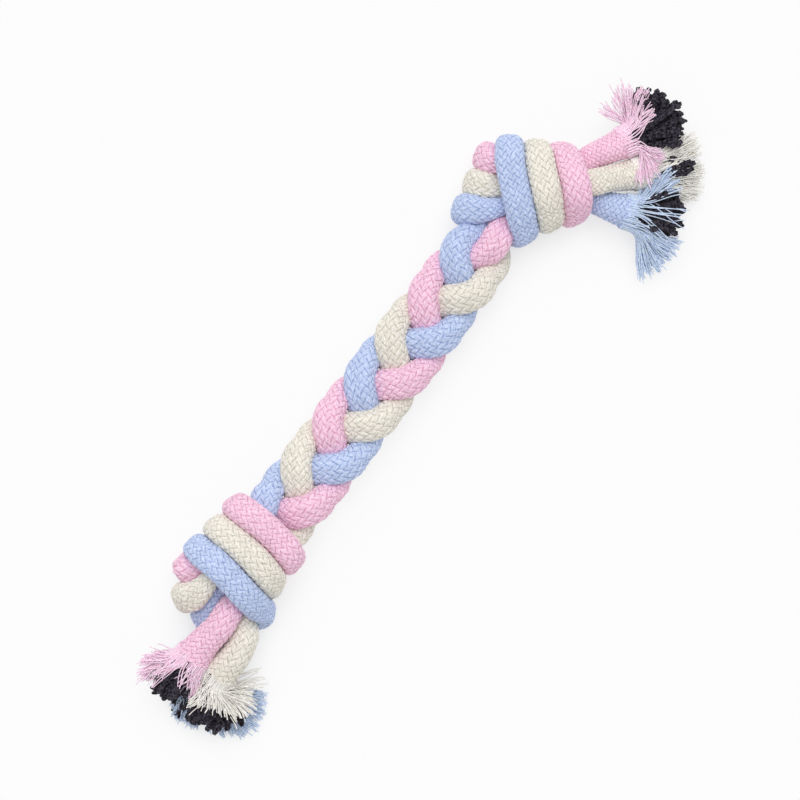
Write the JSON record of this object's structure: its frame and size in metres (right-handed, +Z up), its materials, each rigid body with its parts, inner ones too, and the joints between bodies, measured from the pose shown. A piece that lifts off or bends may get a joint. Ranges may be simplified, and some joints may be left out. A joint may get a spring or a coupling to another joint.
{
  "type": "rope dog toy",
  "caption": "Soft plaited rope tug toy with a bulky overhand knot and frayed tails at each end, for a dog to chew, carry and pull.",
  "frame": {"origin": "centre of the footprint, on the floor the toy lies on", "axes": "+X along the plait from knot A to knot B, +Y across the plait, +Z up"},
  "size_m": [0.2276, 0.0604, 0.0291],
  "materials": {
    "pink_sheath": "soft braided cotton",
    "cream_sheath": "soft braided cotton",
    "blue_sheath": "soft braided cotton",
    "core_yarn": "fuzzy spun yarn"
  },
  "bodies": {
    "plait": {"pink_plait": "pink_sheath", "cream_plait": "cream_sheath", "blue_plait": "blue_sheath"},
    "knot_a": {"pink_knot_a": "pink_sheath", "cream_knot_a": "cream_sheath", "blue_knot_a": "blue_sheath"},
    "knot_b": {"pink_knot_b": "pink_sheath", "cream_knot_b": "cream_sheath", "blue_knot_b": "blue_sheath"},
    "tails_a": {"pink_tail_a": "pink_sheath", "cream_tail_a": "cream_sheath", "blue_tail_a": "blue_sheath", "pink_core_a": "core_yarn", "cream_core_a": "core_yarn", "blue_core_a": "core_yarn"},
    "tails_b": {"pink_tail_b": "pink_sheath", "cream_tail_b": "cream_sheath", "blue_tail_b": "blue_sheath", "pink_core_b": "core_yarn", "cream_core_b": "core_yarn", "blue_core_b": "core_yarn"}
  },
  "joints": [
    {"name": "knot_a_bend", "type": "hinge", "parent": "plait", "child": "knot_a", "pos_m": [-0.03594, 0.01233, 0.013], "axis": [0, 0, 1], "range_deg": [-35, 35]},
    {"name": "knot_b_bend", "type": "hinge", "parent": "plait", "child": "knot_b", "pos_m": [0.03806, 0.01233, 0.013], "axis": [0, 0, 1], "range_deg": [-35, 35]},
    {"name": "tails_a_lift", "type": "hinge", "parent": "knot_a", "child": "tails_a", "pos_m": [-0.08754, 0.00433, 0.0202], "axis": [-0.0698, 0.9976, 0], "range_deg": [0, 40]},
    {"name": "tails_b_lift", "type": "hinge", "parent": "knot_b", "child": "tails_b", "pos_m": [0.08466, -0.00107, 0.0188], "axis": [-0.6561, -0.7547, 0], "range_deg": [0, 40]}
  ]
}
